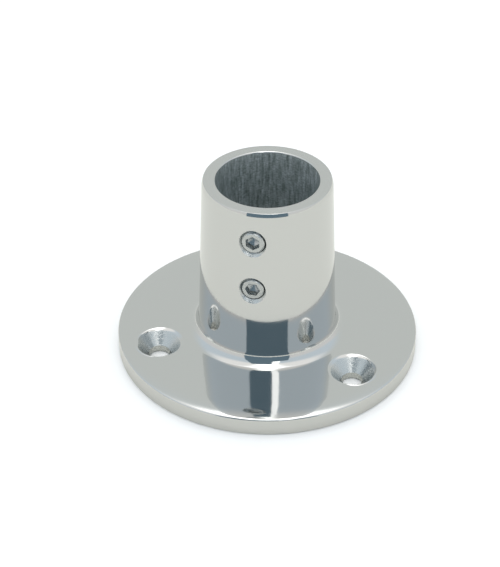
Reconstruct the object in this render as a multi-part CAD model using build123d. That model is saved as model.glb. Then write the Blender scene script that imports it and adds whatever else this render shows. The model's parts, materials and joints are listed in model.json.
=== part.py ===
from build123d import *
import os
from math import radians, tan

# Round base flange with an upright clamp socket for a rail tube: one stainless casting and the
# two hexagon-socket set screws that grip the tube. Millimetres, +Z up, origin at the centre of
# the underside, set screws facing -Y, third screw hole at the back (+Y).

# Tube and socket
tube_diameter = 25.0
tube_clearance = 0.1          # radial gap between tube and bore
socket_height = 48.0          # underside to rim
socket_wall = 3.25            # at the rim, up to the drafted outside
socket_draft = 2.2            # degrees, the outside widens towards the flange
rim_roll_height = 1.6         # soft roll that polishing leaves around the rim
rim_roll_inset = 0.3
rim_break = 0.12              # every break is a small chamfer
bore_mouth_break = 0.25
neck_fillet = 4.0             # socket into flange

# Flange
flange_diameter = 76.0
flange_thickness = 5.3        # on the axis, before the crown falls away
flange_crown_radius = 1500.0
flange_roll_width = 3.4       # outer margin of the top, rolled over by polishing
flange_roll_drop = 0.28
flange_edge_break = 0.35
underside_break = 0.3

# Countersunk screw holes
hole_count = 3
hole_circle_diameter = 57.0
hole_diameter = 5.2
countersink_diameter = 11.0
countersink_slope = 45.0      # degrees from the top face, for a 90 degree head
countersink_lip = 0.6         # width of the polished-down lip
countersink_lip_slope = 24.0

# Set screws (M6) and their holes through the front wall of the socket
thread_diameter = 6.0
thread_clearance = 0.05       # radial
screw_mouth_diameter = 6.6    # chamfered mouth of the hole, across the socket
upper_screw_depth = 8.1       # below the rim
screw_spacing = 13.2          # upper screw down to the lower one
upper_screw_recess = 0.05     # outer face below the socket's outside
lower_screw_recess = 0.3
screw_length = 3.4
screw_chamfer = 0.5
point_diameter = 3.0          # rim of the cup point
point_slope = 30.0            # degrees, of the cone and of the cup
hex_across_flats = 3.0
hex_depth = 1.6
hex_mouth_depth = 0.25        # flared mouth of the broached hexagon
hex_mouth_flare = 22.0        # degrees
hex_drill_slope = 30.0        # conical bottom of the pilot drilling
upper_hex_turn = 92.0         # degrees from +X to a corner
lower_hex_turn = 59.0

bore_radius = tube_diameter / 2 + tube_clearance
flange_radius = flange_diameter / 2
upper_screw_height = socket_height - upper_screw_depth
lower_screw_height = upper_screw_height - screw_spacing


def outside_radius(z):
    """Radius of the drafted outside of the socket at height z."""
    return bore_radius + socket_wall + (socket_height - z) * tan(radians(socket_draft))


def top_height(r):
    """Height of the crowned top of the flange at radius r."""
    return flange_thickness - flange_crown_radius + (flange_crown_radius**2 - r**2) ** 0.5


def casting_section():
    """Half section of the casting in the XZ plane, from the bore out to the edge of the flange."""
    roll_start = flange_radius - flange_roll_width
    wall_foot = outside_radius(flange_thickness)
    rim_roll_start = socket_height - rim_roll_height
    edge_top = (flange_radius, top_height(roll_start) - flange_roll_drop)
    neck_root = (wall_foot, top_height(wall_foot))
    rim_edge = (outside_radius(socket_height) - rim_roll_inset, socket_height)
    bore_foot = (bore_radius, 0)
    bore_mouth = (bore_radius, socket_height)
    flange_foot = (flange_radius, 0)
    with BuildSketch(Plane.XZ) as section:
        with BuildLine():
            Polyline(rim_edge, bore_mouth, bore_foot, flange_foot, edge_top)
            roll = TangentArc(
                (roll_start, top_height(roll_start)),
                edge_top,
                tangent=(flange_crown_radius, -roll_start),
            )
            RadiusArc(neck_root, roll @ 0, flange_crown_radius)
            wall = Line(neck_root, (outside_radius(rim_roll_start), rim_roll_start))
            TangentArc(wall @ 1, rim_edge, tangent=wall % 1)
        make_face()
        fillet(section.vertices().sort_by_distance(neck_root)[0], neck_fillet)
        for corner, length in (
            (edge_top, flange_edge_break),
            (flange_foot, underside_break),
            (bore_foot, underside_break),
            (rim_edge, rim_break),
            (bore_mouth, bore_mouth_break),
        ):
            chamfer(section.vertices().sort_by_distance(corner)[0], length)
    return section.sketch


def countersunk_hole():
    """Cutter for one countersunk hole, its origin where the axis meets the top of the flange."""
    hole_radius = hole_diameter / 2
    outer_radius = countersink_diameter / 2
    lip_radius = outer_radius - countersink_lip
    lip_depth = countersink_lip * tan(radians(countersink_lip_slope))
    cone_depth = lip_depth + (lip_radius - hole_radius) * tan(radians(countersink_slope))
    with BuildSketch(Plane.XZ) as profile:
        Polygon(
            (0, -2 * flange_thickness),
            (hole_radius, -2 * flange_thickness),
            (hole_radius, -cone_depth),
            (lip_radius, -lip_depth),
            (outer_radius, 0),
            (outer_radius, flange_thickness),
            (0, flange_thickness),
            align=None,
        )
    return revolve(profile.sketch, Axis.Z)


def screw_axis(height):
    """Plane on the bore axis whose normal runs out along a set screw at this height."""
    return Plane(origin=(0, 0, height), x_dir=(1, 0, 0), z_dir=(0, -1, 0))


def set_screw_hole(height):
    """Cutter for one set screw hole through the front wall, with its chamfered mouth."""
    thread_radius = thread_diameter / 2
    mouth_radius = screw_mouth_diameter / 2
    mouth = (outside_radius(height) ** 2 - mouth_radius**2) ** 0.5
    with BuildSketch(Plane.XZ) as profile:
        Polygon(
            (0, 0),
            (thread_radius, 0),
            (thread_radius, mouth - mouth_radius + thread_radius),
            (2 * mouth_radius, mouth + mouth_radius),
            (0, mouth + mouth_radius),
            align=None,
        )
    return screw_axis(height) * revolve(profile.sketch, Axis.Z)


def base_flange():
    """Flange, neck and bored socket, cast in one piece."""
    casting = revolve(casting_section(), Axis.Z)
    circle_radius = hole_circle_diameter / 2
    top = top_height(circle_radius)
    for turn in range(hole_count):
        angle = 90 + turn * 360 / hole_count
        casting -= Rot(Z=angle) * Pos(circle_radius, 0, top) * countersunk_hole()
    for height in (upper_screw_height, lower_screw_height):
        casting -= set_screw_hole(height)
    return casting


def set_screw(height, recess, hex_turn):
    """Set screw with a cup point and a broached hexagon, its outer face a recess below the wall."""
    body_radius = thread_diameter / 2 - thread_clearance
    point_radius = point_diameter / 2
    cone_length = (body_radius - point_radius) * tan(radians(point_slope))
    cup_depth = point_radius * tan(radians(point_slope))
    face = outside_radius(height) - recess
    tip = face - screw_length
    with BuildSketch(Plane.XZ) as profile:
        Polygon(
            (0, tip + cup_depth),
            (point_radius, tip),
            (body_radius, tip + cone_length),
            (body_radius, face - screw_chamfer),
            (body_radius - screw_chamfer, face),
            (0, face),
            align=None,
        )
    blank = revolve(profile.sketch, Axis.Z)
    apothem = hex_across_flats / 2
    hexagon = RegularPolygon(apothem, 6, major_radius=False, rotation=hex_turn)
    socket = Pos(0, 0, face - hex_depth) * extrude(hexagon, hex_depth)
    flare = hex_mouth_depth * tan(radians(hex_mouth_flare))
    mouth = RegularPolygon(apothem + flare, 6, major_radius=False, rotation=hex_turn)
    socket += Pos(0, 0, face) * extrude(mouth, -hex_mouth_depth, taper=hex_mouth_flare)
    drill_depth = apothem * tan(radians(hex_drill_slope))
    drill = Cone(0, apothem, drill_depth, align=(Align.CENTER, Align.CENTER, Align.MAX))
    socket += Pos(0, 0, face - hex_depth) * drill
    return screw_axis(height) * (blank - socket)


parts = {
    "base_flange": base_flange(),
    "upper_set_screw": set_screw(upper_screw_height, upper_screw_recess, upper_hex_turn),
    "lower_set_screw": set_screw(lower_screw_height, lower_screw_recess, lower_hex_turn),
}
os.makedirs("parts", exist_ok=True)
for name, part in parts.items():
    export_step(part, f"parts/{name}.step")
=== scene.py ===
import json
import bmesh
import bpy
import numpy as np
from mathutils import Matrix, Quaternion, Vector


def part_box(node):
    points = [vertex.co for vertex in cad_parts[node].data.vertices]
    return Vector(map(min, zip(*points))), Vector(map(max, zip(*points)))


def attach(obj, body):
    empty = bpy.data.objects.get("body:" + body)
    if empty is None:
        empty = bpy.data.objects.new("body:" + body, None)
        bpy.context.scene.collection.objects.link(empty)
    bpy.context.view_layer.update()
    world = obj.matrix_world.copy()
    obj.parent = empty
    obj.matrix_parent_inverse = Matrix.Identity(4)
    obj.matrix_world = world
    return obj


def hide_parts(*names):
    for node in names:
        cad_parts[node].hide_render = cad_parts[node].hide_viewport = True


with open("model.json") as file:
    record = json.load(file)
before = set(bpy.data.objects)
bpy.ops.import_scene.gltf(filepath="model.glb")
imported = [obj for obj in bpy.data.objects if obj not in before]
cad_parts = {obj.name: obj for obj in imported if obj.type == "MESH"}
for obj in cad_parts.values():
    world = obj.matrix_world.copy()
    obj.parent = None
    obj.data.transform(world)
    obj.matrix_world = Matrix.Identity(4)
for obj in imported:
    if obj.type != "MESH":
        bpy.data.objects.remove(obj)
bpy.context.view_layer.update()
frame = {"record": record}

# BASE FLANGE
# Round flange, neck and tube socket, cast in one piece in 316 stainless steel. The outside is
# polished to a mirror, the rim is faced and the socket bored on a lathe, and the flange is drilled
# and countersunk for three deck screws. Sizes are in millimetres, as on the workshop drawing.
mm = 0.001
mounts = {mount["name"]: mount for mount in frame["record"]["mounts"]}
flange_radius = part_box("base_flange")[1].x / mm
socket_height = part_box("base_flange")[1].z / mm
bore_radius = mounts["tube_socket"]["dims"]["r_mm"]
hole_radius = mounts["screw_holes"]["dims"]["hole_r_mm"]
hole_circle = mounts["screw_holes"]["dims"]["pcd_mm"] / 2
rim_radius = bore_radius + 3.25
draft = np.radians(2.2)
crown = 5.3
crown_radius = 1500.0
roll_width = 5.2
roll_drop = 0.32
edge_radius = 0.42
small_break = 0.3
neck_fillet = 3.3
rim_roll = 1.6
rim_lean = np.radians(24)
rim_break = 0.12
countersink_radius = 6.1
lip_width = 0.8
columns = 480


def wall_radius(z):
    """Drafted outside of the socket: its radius grows in a straight line down from the rim."""
    return rim_radius + (socket_height - z) * np.tan(draft)


def top_height(r):
    """Top of the flange: a very flat dome, less a margin that falls as a power of its width."""
    margin = np.clip((r - flange_radius + roll_width) / roll_width, 0, None)
    return crown - r**2 / (2 * crown_radius) - roll_drop * margin**2.5


def along(start, end, steps):
    """Points from start up to, but not at, end, evenly spaced on a straight line."""
    return np.linspace(start, end, steps, endpoint=False)


def turned(centre, radius, start, end, steps):
    """Points on an arc about centre, from angle start up to, but not at, end, in radians."""
    angle = np.linspace(start, end, steps, endpoint=False)
    return np.column_stack([centre[0] + radius * np.cos(angle), centre[1] + radius * np.sin(angle)])


# The fillet's centre lies one fillet radius off the wall and off the dome of the flange.
across = np.array([np.cos(draft), np.sin(draft)])
up_wall = np.array([-np.sin(draft), np.cos(draft)])
dome_centre = np.array([0, crown - crown_radius])
start = np.array([wall_radius(0), 0]) + neck_fillet * across - dome_centre
slope = start @ up_wall
rise = -slope + np.sqrt(slope**2 - start @ start + (crown_radius + neck_fillet) ** 2)
fillet_centre = dome_centre + start + rise * up_wall
to_dome = dome_centre - fillet_centre
dome_angle = np.arctan2(to_dome[1], to_dome[0])
deck_start = fillet_centre[0] + neck_fillet * np.cos(dome_angle)
wall_start = fillet_centre[1] - neck_fillet * np.sin(draft)

# The edge of the flange is an arc between its upright side and the last slope of the margin.
edge_slope = np.arctan(flange_radius / crown_radius + 2.5 * roll_drop / roll_width)
deck_end = flange_radius - edge_radius + edge_radius * np.sin(edge_slope)
edge_centre = (flange_radius - edge_radius, top_height(deck_end) - edge_radius * np.cos(edge_slope))

window_in, window_out, window_rows = 21.6, 35.4, 16
deck = np.concatenate([
    [deck_start],
    along(window_in, window_out, window_rows),
    along(window_out, deck_end, 10),
])
rim_start = socket_height - rim_roll
upright = np.linspace(wall_start, rim_start, 37)

# Going round the section from the bore's foot: underside, side, edge, top, neck fillet, wall, rim
# and back down the bore. The rows of the underside and the bore lie under those of the top and
# behind those of the wall, so that a hole's window is the same on both sides of the metal.
underside_rows = np.concatenate([
    along(bore_radius + small_break, window_in, 4),
    along(window_in, window_out, window_rows),
    along(window_out, flange_radius - small_break, 2),
])
rim_radius_of_roll = (
    rim_roll - rim_break * (1 - np.sin(rim_lean))
) / (np.sin(rim_lean) - np.sin(draft))
roll_centre = (
    wall_radius(rim_start) - rim_radius_of_roll * np.cos(draft),
    rim_start - rim_radius_of_roll * np.sin(draft),
)
rim_edge = (
    roll_centre[0] + (rim_radius_of_roll - rim_break) * np.cos(rim_lean),
    socket_height - rim_break,
)
foot = (bore_radius, small_break)
section = np.vstack([
    along(foot, (bore_radius + small_break, 0), 1),
    np.column_stack([underside_rows, np.zeros(len(underside_rows))]),
    along((flange_radius - small_break, 0), (flange_radius, small_break), 1),
    along((flange_radius, small_break), (flange_radius, edge_centre[1]), 4),
    turned(edge_centre, edge_radius, 0, np.pi / 2 - edge_slope, 10),
    np.column_stack([deck, top_height(deck)])[::-1],
    turned(fillet_centre, neck_fillet, dome_angle, -np.pi + draft, 24)[1:],
    np.column_stack([wall_radius(upright), upright])[:-1],
    turned(roll_centre, rim_radius_of_roll, draft, rim_lean, 8),
    turned(rim_edge, rim_break, rim_lean, np.pi / 2, 5),
    along((rim_edge[0], socket_height), (bore_radius + small_break, socket_height), 4),
    turned((bore_radius + small_break, socket_height - small_break), small_break, np.pi / 2, np.pi, 4),
    along((bore_radius, socket_height - small_break), (bore_radius, upright[-1]), 1),
    np.column_stack([np.full(len(upright), bore_radius), upright])[::-1],
])

turn = np.linspace(0, 2 * np.pi, columns, endpoint=False)
grid = np.arange(len(section) * columns).reshape(-1, columns)
lathe = np.stack([
    section[:, :1] * np.cos(turn),
    section[:, :1] * np.sin(turn),
    np.broadcast_to(section[:, 1:], grid.shape),
], -1).reshape(-1, 3)
points = [lathe]
finish = np.zeros(grid.shape, int)
closed = np.ones(grid.shape, bool)
faces, finishes = [], []


def row(r, z):
    """The row of the section nearest to radius r and height z."""
    return int(np.argmin(np.hypot(section[:, 0] - r, section[:, 1] - z)))


def border(rows, middle, reach):
    """Cuts a window, reach columns each side of the middle one, and gives the points round it."""
    cols = np.arange(middle - reach, middle + reach + 1)
    closed[min(rows):max(rows), cols[0]:cols[-1]] = False
    return np.concatenate([
        grid[rows[:-1], cols[0]], grid[rows[-1], cols[:-1]],
        grid[rows[:0:-1], cols[-1]], grid[rows[0], cols[:0:-1]],
    ])


def web(outline, rim, lift, steps):
    """Rings from a window's outline to a hole's rim, straight in plan and lifted onto the surface."""
    return [lift(outline + (rim - outline) * t) for t in np.linspace(0, 1, steps + 1)[1:-1]]


def ringed(first, rings, last, kinds):
    """Joins two windows through the wall by rings of as many points, each band with its finish."""
    total = sum(len(p) for p in points)
    ids = [first]
    for ring in rings:
        points.append(ring)
        ids.append(np.arange(total, total + len(first)))
        total += len(first)
    ids.append(last)
    for near, far, kind in zip(ids[:-1], ids[1:], kinds):
        faces.append(np.stack([near, np.roll(near, -1), np.roll(far, -1), far], -1))
        finishes.append(np.full(len(near), kind))


POLISHED, FACED, BORED, COUNTERSUNK = range(4)

# Each countersunk hole: a rounded lip, a 90 degree cone and a plain hole. Slopes are from the top.
lip_slopes = np.radians(np.linspace(8, 45, 6))
lip_radius = lip_width / (np.sin(lip_slopes[-1]) - np.sin(lip_slopes[0]))
lip = np.column_stack([
    countersink_radius - lip_radius * (np.sin(lip_slopes) - np.sin(lip_slopes[0])),
    -lip_radius * (np.cos(lip_slopes[0]) - np.cos(lip_slopes)),
])
cone_foot = (hole_radius, lip[-1, 1] - (lip[-1, 0] - hole_radius))
hole_top = top_height(hole_circle)
drilled = np.vstack([
    lip[1:-1],
    along(lip[-1], cone_foot, 5),
    along(cone_foot, (hole_radius, small_break - hole_top), 3),
    [(hole_radius, small_break - hole_top)],
])
drilled_kinds = [POLISHED] * (len(lip) - 1) + [COUNTERSUNK] * (len(drilled) - len(lip) + 2)
top_rows = np.arange(row(window_out, top_height(window_out)), row(window_in, top_height(window_in)) + 1)
under_rows = np.arange(row(window_out, 0), row(window_in, 0) - 1, -1)
reach = 19
web_rings = 7


def on_top(flat):
    """Points given in plan, lifted onto the top of the flange."""
    return np.column_stack([flat, top_height(np.hypot(*flat.T))])


def underneath(flat):
    """Points given in plan, on the flat underside."""
    return np.column_stack([flat, np.zeros(len(flat))])


for middle in (columns // 4, columns * 7 // 12, columns * 11 // 12):
    centre = hole_circle * np.array([np.cos(turn[middle]), np.sin(turn[middle])])
    above = border(top_rows, middle, reach)
    below = border(under_rows, middle, reach)
    outline = lathe[above, :2]
    away = (outline - centre) / np.linalg.norm(outline - centre, axis=1)[:, None]
    rim = centre + countersink_radius * away
    foot_rim = centre + (hole_radius + small_break) * away
    rings = web(outline, rim, on_top, web_rings) + [on_top(rim)]
    rings += [np.column_stack([centre + r * away, np.full(len(away), hole_top + z)]) for r, z in drilled]
    rings += [underneath(foot_rim)] + web(outline, foot_rim, underneath, web_rings - 1)[::-1]
    ringed(above, rings, below, [POLISHED] * web_rings + drilled_kinds + [POLISHED] * web_rings)

# Each set screw hole: a 90 degree mouth that meets the round wall in a tall oval, and an M6 hole.
thread_radius = 3.0
mouth_radius = 3.3
front = columns * 3 // 4
front_reach = 25
front_rows = np.arange(-5, 6)


def on_wall(flat):
    """Points given by x and z, set back onto the drafted outside of the socket."""
    x, z = flat.T
    return np.column_stack([x, -np.sqrt(wall_radius(z) ** 2 - x**2), z])


def on_bore(flat):
    """Points given by x and z, set back onto the bore."""
    x, z = flat.T
    return np.column_stack([x, -np.sqrt(bore_radius**2 - x**2), z])


for name in ("upper_set_screw", "lower_set_screw"):
    height = (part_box(name)[0].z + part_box(name)[1].z) / 2 / mm
    outside = border(row(wall_radius(height), height) + front_rows, front, front_reach)
    inside = border(row(bore_radius, height) - front_rows, front, front_reach)
    axis_plan = np.array([0, height])
    outline = lathe[outside][:, [0, 2]]
    away = (outline - axis_plan) / np.linalg.norm(outline - axis_plan, axis=1)[:, None]
    mouth = np.sqrt(wall_radius(height) ** 2 - mouth_radius**2)

    # The rim is where the 45 degree mouth has moved out by as much as the wall has: step to it.
    mouth_reach = np.full(len(away), mouth_radius)
    for _ in range(12):
        rim = axis_plan + mouth_reach[:, None] * away
        mouth_reach = mouth_radius - on_wall(rim)[:, 1] - mouth
    rim = axis_plan + mouth_reach[:, None] * away
    throat = axis_plan + thread_radius * away
    depth = mouth - mouth_radius + thread_radius
    inner_outline = lathe[inside][:, [0, 2]]
    throat_ring = np.column_stack([throat[:, 0], np.full(len(throat), -depth), throat[:, 1]])
    rings = web(outline, rim, on_wall, web_rings) + [on_wall(rim), throat_ring]
    rings += [throat_ring + (on_bore(throat) - throat_ring) * t for t in (0.33, 0.67, 1)]
    rings += web(inner_outline, throat, on_bore, web_rings - 1)[::-1]
    ringed(outside, rings, inside, [POLISHED] * web_rings + [COUNTERSUNK] + [BORED] * (web_rings + 2))

# Faces of the section outside the windows come first, then points that no face uses go.
right = np.roll(grid, -1, axis=1)
below_right = np.roll(right, -1, axis=0)
below_left = np.roll(grid, -1, axis=0)
rim_rows = slice(row(rim_edge[0], socket_height), row(bore_radius + small_break, socket_height))
bore_first = row(bore_radius, socket_height - small_break)
finish[rim_rows] = FACED
finish[bore_first:] = BORED
faces.insert(0, np.stack([grid, right, below_right, below_left], -1)[closed])
finishes.insert(0, finish[closed])
faces, finishes, points = np.vstack(faces), np.concatenate(finishes), np.vstack(points)
used, faces = np.unique(faces, return_inverse=True)
points, faces = points[used], faces.reshape(-1, 4)


def solid(name, points, faces, finishes, materials, sharp=25, caps=()):
    """A smooth mesh in metres, faces outward, with hard edges where two faces turn by sharp degrees."""
    mesh = bpy.data.meshes.new(name)
    mesh.from_pydata((points * mm).tolist(), [], faces.tolist() + [list(cap) for cap in caps])
    finishes = np.append(finishes, np.zeros(len(caps), int))
    sheet = bmesh.new()
    sheet.from_mesh(mesh)
    bmesh.ops.recalc_face_normals(sheet, faces=sheet.faces)
    sheet.to_mesh(mesh)
    sheet.free()
    for material in materials:
        mesh.materials.append(material)
    mesh.polygons.foreach_set("material_index", finishes)
    mesh.shade_smooth()
    mesh.set_sharp_from_angle(angle=np.radians(sharp))
    made = bpy.data.objects.new(name, mesh)
    bpy.context.scene.collection.objects.link(made)
    return made


def linear(text):
    """sRGB hex to linear colour: each channel over 255, through the two-part sRGB curve."""
    c = np.array([int(text[i:i + 2], 16) for i in (1, 3, 5)]) / 255
    return (*np.where(c <= 0.04045, c / 12.92, ((c + 0.055) / 1.055) ** 2.4), 1.0)


def add(tree, kind, links=(), **settings):
    """Adds a node: settings are its properties or sockets, links its (input, source) pairs."""
    made = tree.nodes.new("ShaderNode" + kind)
    for name, value in settings.items():
        if hasattr(made, name):
            setattr(made, name, value)
        else:
            made.inputs[name.replace("_", " ")].default_value = value
    for name, source in links:
        tree.links.new(source, made.inputs[name])
    return made


def metal(name, colour, roughness):
    """A metal with its own colour and roughness, and the tree and shader to add its marks to."""
    made = bpy.data.materials.new(name)
    made.use_nodes = True
    shader = made.node_tree.nodes["Principled BSDF"]
    shader.inputs["Base Color"].default_value = linear(colour)
    shader.inputs["Metallic"].default_value = 1.0
    shader.inputs["Roughness"].default_value = roughness
    return made, made.node_tree, shader


def marks(tree, shader, source, roughness, depth):
    """A 0 to 1 pattern varies the roughness between two values and raises the surface by depth mm."""
    spread = add(tree, "MapRange", [("Value", source)], To_Min=roughness[0], To_Max=roughness[1])
    tree.links.new(spread.outputs[0], shader.inputs["Roughness"])
    bump = add(tree, "Bump", [("Height", source)], Distance=depth * mm, Strength=1.0)
    tree.links.new(bump.outputs[0], shader.inputs["Normal"])


def place(tree, *size):
    """Object coordinates divided so that one unit of the pattern is size mm along x, y and z."""
    spot = add(tree, "TexCoord").outputs["Object"]
    scaled = add(tree, "VectorMath", [("Vector", spot)], operation="MULTIPLY")
    scaled.inputs[1].default_value = [1 / (s * mm) for s in size]
    return scaled.outputs["Vector"]


def distance_from_axis(tree):
    """The distance from the upright axis, in mm."""
    spot = add(tree, "SeparateXYZ", [("Vector", place(tree, 1, 1, 1))])
    flat = add(tree, "CombineXYZ", [("X", spot.outputs["X"]), ("Y", spot.outputs["Y"])])
    return add(tree, "VectorMath", [("Vector", flat.outputs[0])], operation="LENGTH").outputs["Value"]


# Polished casting: a cool white mirror, a little uneven from the mop, with faint haze.
polished, tree, shader = metal("polished_cast_stainless", "#cfd0cf", 0.06)
haze = add(tree, "TexNoise", [("Vector", place(tree, 7, 7, 7))], Scale=1.0, Detail=4.0, Roughness=0.6)
marks(tree, shader, haze.outputs["Fac"], (0.02, 0.11), 0.012)

# Turned rim: fine rings round the axis that blur the reflection across them.
faced, tree, shader = metal("faced_stainless", "#cdcecd", 0.2)
radius = distance_from_axis(tree)
lines = add(tree, "TexNoise", [("W", radius)], noise_dimensions="1D", Scale=5.0, Detail=3.0)
marks(tree, shader, lines.outputs["Fac"], (0.14, 0.26), 0.004)

# Bored tube seat and tapped holes: grey and rough, with upright draw marks and specks.
bored, tree, shader = metal("bored_stainless", "#a9b3b4", 0.45)
shader.inputs["Metallic"].default_value = 0.6
stretched = place(tree, 0.6, 0.6, 4)
draw = add(tree, "TexNoise", [("Vector", stretched)], Scale=1.0, Detail=3.0)
fine = place(tree, 0.7, 0.7, 0.35)
specks = add(tree, "TexNoise", [("Vector", fine)], Scale=1.0, Detail=4.0, Roughness=0.7)
both = add(tree, "Math", [(0, draw.outputs["Fac"]), (1, specks.outputs["Fac"])], operation="MULTIPLY")
tone = add(tree, "MapRange", [("Value", both.outputs[0])], From_Min=0.12, From_Max=0.4)
dull, bright = linear("#7f8a88"), linear("#dfe7ea")
shade = add(tree, "Mix", [("Factor", tone.outputs[0])], data_type="RGBA", A=dull, B=bright)
tree.links.new(shade.outputs["Result"], shader.inputs["Base Color"])
marks(tree, shader, both.outputs[0], (0.35, 0.6), 0.05)

# Countersinks and screw hole mouths: bright, left as the tool cut them, with chatter.
countersunk, tree, shader = metal("countersunk_stainless", "#c6c9c8", 0.2)
steps = place(tree, 0.9, 0.9, 0.5)
chatter = add(tree, "TexNoise", [("Vector", steps)], Scale=1.0, Detail=4.0, Roughness=0.7)
marks(tree, shader, chatter.outputs["Fac"], (0.15, 0.4), 0.06)

casting = solid("polished_base_flange", points, faces, finishes, [polished, faced, bored, countersunk])
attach(casting, "flange")
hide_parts("base_flange")

# SET SCREWS
# Two M6 set screws of plain stainless steel: turned bar with a broached 3 mm hexagon socket, a
# rolled thread and a cup point that bites the tube. Each is screwed into the wall of the socket.
# Screw steel: grey, even and finely grained.
screw_steel, tree, shader = metal("turned_set_screw_stainless", "#bfc2c2", 0.25)
grain = add(tree, "TexNoise", [("Vector", place(tree, 0.4, 0.4, 0.4))], Scale=1.0, Detail=3.0)
marks(tree, shader, grain.outputs["Fac"], (0.2, 0.36), 0.01)

hexagon_half = 1.5
hexagon_mouth_half = 1.62
hexagon_depth = 1.6
hexagon_flare = 0.25
screw_length = 3.4
thread_crest = 2.95
thread_pitch = 1.0
thread_height = 0.42
screw_chamfer = 0.45
point_radius = 1.5
point_length = 0.9
point_break = 0.05
cup_depth = 0.8
cap_radius = 0.02
around = np.radians(np.arange(0, 360, 2.5))


def hexagon(half):
    """Distance to the sides of a hexagon with a corner at angle 0: half its width over the cosine."""
    return half / np.cos(np.radians(30) - np.mod(around, np.radians(60)))


def screw(name, body, turned_by):
    """Rings from the bottom of the hexagon over the face, down the thread and into the cup, with the
    thread as a groove whose phase grows by one turn for each pitch and each time round."""
    lowest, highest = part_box(name)
    front, height = lowest.y / mm, (lowest.z + highest.z) / 2 / mm
    full = np.ones(len(around))
    cone = hexagon_half * np.tan(np.radians(30))
    rows = [
        (cap_radius * full, hexagon_depth + cone),
        (hexagon_half / 2 * full, hexagon_depth + cone / 2),
        (hexagon(hexagon_half), hexagon_depth),
        (hexagon(hexagon_half), hexagon_flare),
        (hexagon(hexagon_mouth_half), 0),
        ((thread_crest - screw_chamfer) * full, 0),
    ]
    for down in np.arange(0.1, screw_length - point_length, thread_pitch / 12):
        phase = np.mod(down / thread_pitch + around / (2 * np.pi), 1)
        groove = thread_height * np.clip(1.2 - 2.4 * np.abs(phase - 0.5), 0, 1)
        rows.append((np.minimum(thread_crest - groove, thread_crest - screw_chamfer + down), down))
    rows += [
        ((point_radius + point_break) * full, screw_length - point_break),
        (point_radius * full, screw_length),
        (cap_radius * full, screw_length - cup_depth),
    ]
    angle = around + np.radians(turned_by)
    spots = np.vstack([
        np.stack([r * np.cos(angle), np.full(len(angle), front + d), height + r * np.sin(angle)], -1)
        for r, d in rows
    ])
    ids = np.arange(len(spots)).reshape(len(rows), -1)
    near, far = ids[:-1], ids[1:]
    quads = np.stack([near, np.roll(near, -1, 1), np.roll(far, -1, 1), far], -1).reshape(-1, 4)
    finishes = np.zeros(len(quads), int)
    made = solid("cup_point_" + name, spots, quads, finishes, [screw_steel], 30, [ids[0], ids[-1]])
    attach(made, body)
    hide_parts(name)


screw("upper_set_screw", "upper_screw", 92)
screw("lower_set_screw", "lower_screw", 59)

# FLOOR, LIGHT AND CAMERA
# A white bench, a pale room with a bright ceiling, a dark opening where the camera looks in with a
# lamp beside it, and the camera.
camera_turn = np.radians(12.5)
scene = bpy.context.scene
scene.view_settings.view_transform = "Standard"


card_distance = 0.32
card_points = 13


def card(name, first, last, colour, strength):
    """A glowing upright card bent round the object, unseen itself, between two corners. Each corner is
    an angle in degrees from the camera's side and a height in metres."""
    angle = np.radians(np.linspace(first[0], last[0], card_points)) + camera_turn
    ring = card_distance * np.column_stack([np.sin(angle), -np.cos(angle)])
    spots = np.vstack([np.column_stack([ring, np.full(card_points, h)]) for h in (first[1], last[1])])
    quads = [(k, k + 1, k + card_points + 1, k + card_points) for k in range(card_points - 1)]
    mesh = bpy.data.meshes.new(name)
    mesh.from_pydata(spots.tolist(), [], quads)
    made = bpy.data.objects.new(name, mesh)
    scene.collection.objects.link(made)
    made.visible_camera = False
    made.visible_shadow = False
    made.visible_diffuse = False
    paint = bpy.data.materials.new(name)
    paint.use_nodes = True
    tree = paint.node_tree
    tree.nodes.clear()
    glow = add(tree, "Emission", Color=linear(colour), Strength=strength)
    add(tree, "OutputMaterial", [("Surface", glow.outputs[0])])
    mesh.materials.append(paint)


card("dark_opening", (-33, 0.0), (33, 0.24), "#738997", 0.95)
card("dark_opening_top", (-31, 0.24), (9, 0.56), "#738997", 0.95)
card("lamp", (9, 0.24), (21, 0.50), "#ffffff", 2.2)

bench_radius = 3.0
bench_sides = 96
angle = np.linspace(0, 2 * np.pi, bench_sides, endpoint=False)
bench_mesh = bpy.data.meshes.new("bench")
edge = bench_radius * np.column_stack([np.cos(angle), np.sin(angle), np.zeros(bench_sides)])
bench_mesh.from_pydata(edge.tolist(), [], [range(bench_sides)])
bench = bpy.data.objects.new("bench", bench_mesh)
scene.collection.objects.link(bench)

# Matt white bench: pure white to the camera, a little warmer where the steel mirrors it.
paint = bpy.data.materials.new("white_bench")
paint.use_nodes = True
tree = paint.node_tree
to_camera = add(tree, "LightPath").outputs["Is Camera Ray"]
warm, white = linear("#efede6"), linear("#ffffff")
seen = add(tree, "Mix", [("Factor", to_camera)], data_type="RGBA", A=warm, B=white)
shader = tree.nodes["Principled BSDF"]
shader.inputs["Roughness"].default_value = 0.9
shader.inputs["Specular IOR Level"].default_value = 0.0
tree.links.new(seen.outputs["Result"], shader.inputs["Base Color"])
bench_mesh.materials.append(paint)

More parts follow.
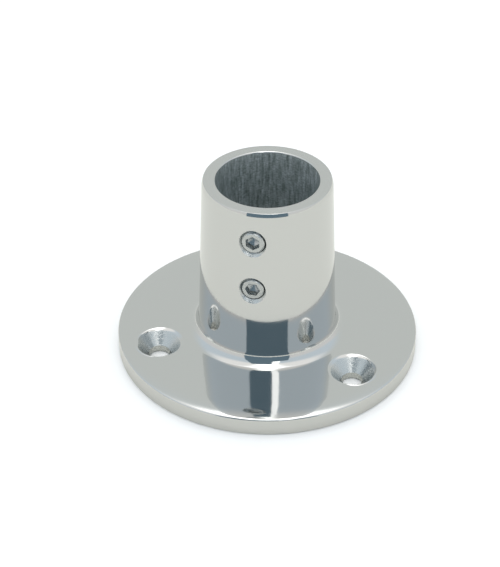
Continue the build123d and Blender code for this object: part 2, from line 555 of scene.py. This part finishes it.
# Pale room: cool sides, a greyer back wall, a lighter ceiling and a soft box lamp overhead.
room = bpy.data.worlds.new("pale_room")
room.use_nodes = True
scene.world = room
tree = room.node_tree
tree.nodes.clear()
direction = add(tree, "TexCoord").outputs["Generated"]
split = add(tree, "SeparateXYZ", [("Vector", direction)])
toward = add(tree, "VectorMath", [(0, direction)], operation="DOT_PRODUCT")
toward.inputs[1].default_value = (np.sin(camera_turn), -np.cos(camera_turn), 0)
beside = add(tree, "VectorMath", [(0, direction)], operation="DOT_PRODUCT")
beside.inputs[1].default_value = (np.cos(camera_turn), np.sin(camera_turn), 0)


def ramp(value, low, high):
    """A smooth step from 0 at low to 1 at high."""
    step = add(tree, "MapRange", [("Value", value)], From_Min=low, From_Max=high)
    step.interpolation_type = "SMOOTHSTEP"
    return step.outputs[0]


def blend(factor, first, second):
    """A colour between two: factor 0 gives the first and factor 1 the second."""
    mixed = add(tree, "Mix", [("Factor", factor)], data_type="RGBA")
    for slot, colour in (("A", first), ("B", second)):
        if isinstance(colour, tuple):
            mixed.inputs[slot].default_value = colour
        else:
            tree.links.new(colour, mixed.inputs[slot])
    return mixed.outputs["Result"]


across = add(tree, "Math", [(0, beside.outputs["Value"])], operation="ABSOLUTE").outputs[0]
rise = split.outputs["Z"]
sides = blend(ramp(rise, 0.25, 0.5), (0.86, 0.86, 0.85, 1), (0.74, 0.83, 0.90, 1))
walls = blend(ramp(toward.outputs["Value"], -0.75, -0.3), (0.745, 0.775, 0.755, 1), sides)
ceiling = blend(ramp(rise, 0.75, 0.9), walls, (1.15, 1.14, 1.12, 1))
narrow, high = ramp(across, 0.26, 0.04), ramp(rise, 0.78, 0.84)
box = add(tree, "Math", [(0, narrow), (1, high)], operation="MULTIPLY")
sky = blend(box.outputs[0], ceiling, (2.9, 2.9, 2.87, 1))
light = add(tree, "Background", [("Color", sky)])
add(tree, "OutputWorld", [("Surface", light.outputs[0])])

camera = bpy.data.objects.new("camera", bpy.data.cameras.new("camera"))
camera.data.lens = 99.14
camera.location = (0.06897, -0.31112, 0.24608)
aim = Vector((-0.00422, -0.00094, 0.01710))
level = (aim - camera.location).to_track_quat("-Z", "Y")
camera.rotation_euler = (level @ Quaternion((0, 0, 1), np.radians(-0.30))).to_euler()
camera.data.clip_start = 0.01
scene.collection.objects.link(camera)
scene.camera = camera
